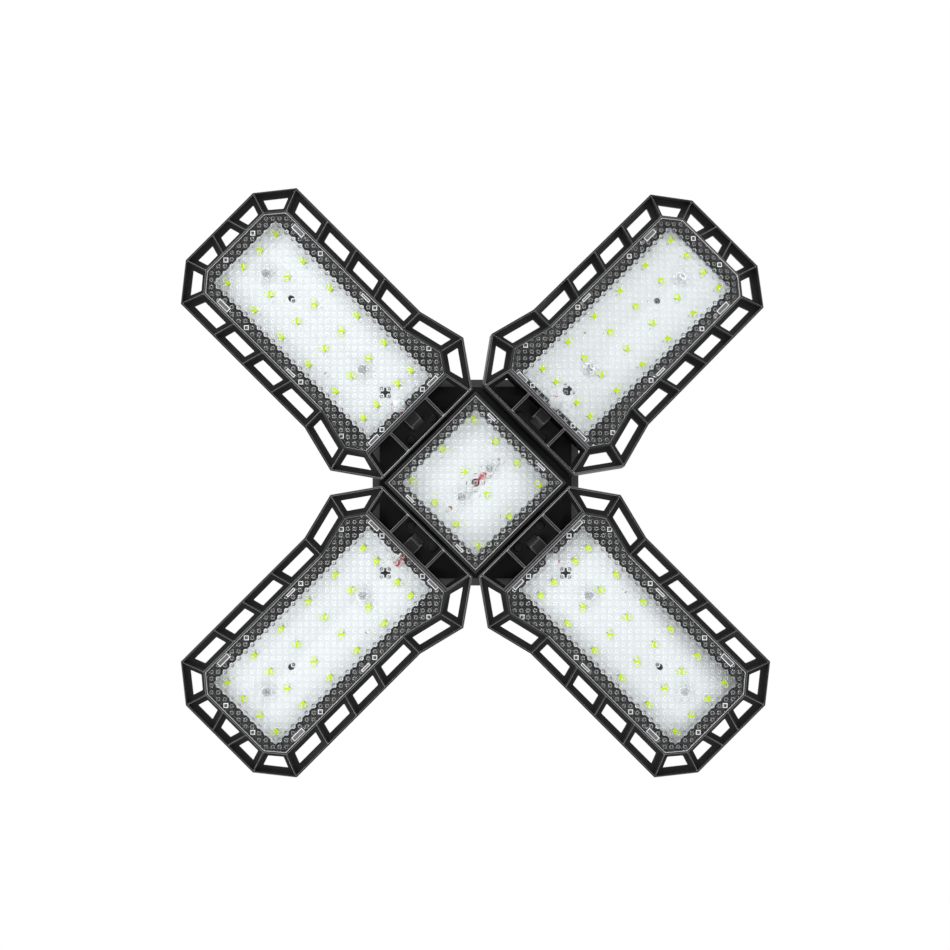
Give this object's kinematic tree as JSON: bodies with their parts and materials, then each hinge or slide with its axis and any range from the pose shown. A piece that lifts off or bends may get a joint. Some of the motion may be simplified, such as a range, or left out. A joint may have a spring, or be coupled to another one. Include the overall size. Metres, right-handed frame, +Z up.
{
  "type": "folding ceiling light",
  "caption": "Ceiling light with a square LED hub panel and hinged LED wings in open lattice frames, carried by an Edison screw cap.",
  "frame": {"origin": "on the lamp's axis where the screw cap's shell meets its collar", "axes": "+Z up, along the cap towards its contact; the LED faces look down, towards -Z; wings 1 to 4 point along +X, +Y, -X and -Y"},
  "size_m": [0.3627, 0.3626, 0.1167],
  "materials": {
    "black_plastic": "satin black moulded plastic with a fine texture",
    "sink_black": "cast aluminium, black coated",
    "clear_lens": "clear polycarbonate with small pyramids, gloss",
    "board_white": "white solder mask on an aluminium board",
    "led_phosphor": "yellow-green phosphor in a white package",
    "screw_zinc": "zinc-plated steel",
    "lead_insulation": "red, white and black lead insulation",
    "board_green": "green solder mask",
    "capacitor_sleeve": "dark blue sleeve on an aluminium can",
    "ferrite": "ferrite and yellow tape",
    "copper_winding": "enamelled copper wire",
    "film_capacitor": "yellow box, gloss",
    "cap_nickel": "nickel-plated brass",
    "cap_black_glass": "black insulator, gloss"
  },
  "bodies": {
    "lamp": {"hub_frame": "black_plastic", "hub_lens": "clear_lens", "hub_board": "board_white", "hub_leds": "led_phosphor", "hub_board_screws": "screw_zinc", "hub_leads": "lead_insulation", "driver_case": "black_plastic", "case_screws": "screw_zinc", "driver_board": "board_green", "driver_board_screws": "screw_zinc", "driver_capacitors": "capacitor_sleeve", "driver_transformer": "ferrite", "driver_choke": "copper_winding", "driver_film_capacitor": "film_capacitor", "output_leads": "lead_insulation", "mains_leads": "lead_insulation", "screw_shell": "cap_nickel", "cap_insulator": "cap_black_glass", "centre_contact": "cap_nickel", "wing1_hinge_pin": "screw_zinc", "wing2_hinge_pin": "screw_zinc", "wing3_hinge_pin": "screw_zinc", "wing4_hinge_pin": "screw_zinc"},
    "wing1": {"wing1_frame": "black_plastic", "wing1_heat_sink": "sink_black", "wing1_lens": "clear_lens", "wing1_board": "board_white", "wing1_leds": "led_phosphor", "wing1_board_screws": "screw_zinc", "wing1_sink_screws": "screw_zinc", "wing1_leads": "lead_insulation", "wing1_lead_cover": "black_plastic"},
    "wing2": {"wing2_frame": "black_plastic", "wing2_heat_sink": "sink_black", "wing2_lens": "clear_lens", "wing2_board": "board_white", "wing2_leds": "led_phosphor", "wing2_board_screws": "screw_zinc", "wing2_sink_screws": "screw_zinc", "wing2_leads": "lead_insulation", "wing2_lead_cover": "black_plastic"},
    "wing3": {"wing3_frame": "black_plastic", "wing3_heat_sink": "sink_black", "wing3_lens": "clear_lens", "wing3_board": "board_white", "wing3_leds": "led_phosphor", "wing3_board_screws": "screw_zinc", "wing3_sink_screws": "screw_zinc", "wing3_leads": "lead_insulation", "wing3_lead_cover": "black_plastic"},
    "wing4": {"wing4_frame": "black_plastic", "wing4_heat_sink": "sink_black", "wing4_lens": "clear_lens", "wing4_board": "board_white", "wing4_leds": "led_phosphor", "wing4_board_screws": "screw_zinc", "wing4_sink_screws": "screw_zinc", "wing4_leads": "lead_insulation", "wing4_lead_cover": "black_plastic"}
  },
  "joints": [
    {"name": "wing1_fold", "type": "hinge", "parent": "lamp", "child": "wing1", "pos_m": [0.05, 0, -0.073], "axis": [0, -1, 0], "range_deg": [-12, 78]},
    {"name": "wing2_fold", "type": "hinge", "parent": "lamp", "child": "wing2", "pos_m": [0, 0.05, -0.073], "axis": [1, 0, 0], "range_deg": [0, 90]},
    {"name": "wing3_fold", "type": "hinge", "parent": "lamp", "child": "wing3", "pos_m": [-0.05, 0, -0.073], "axis": [0, 1, 0], "range_deg": [0, 90]},
    {"name": "wing4_fold", "type": "hinge", "parent": "lamp", "child": "wing4", "pos_m": [0, -0.05, -0.073], "axis": [-1, 0, 0], "range_deg": [0, 90]}
  ]
}
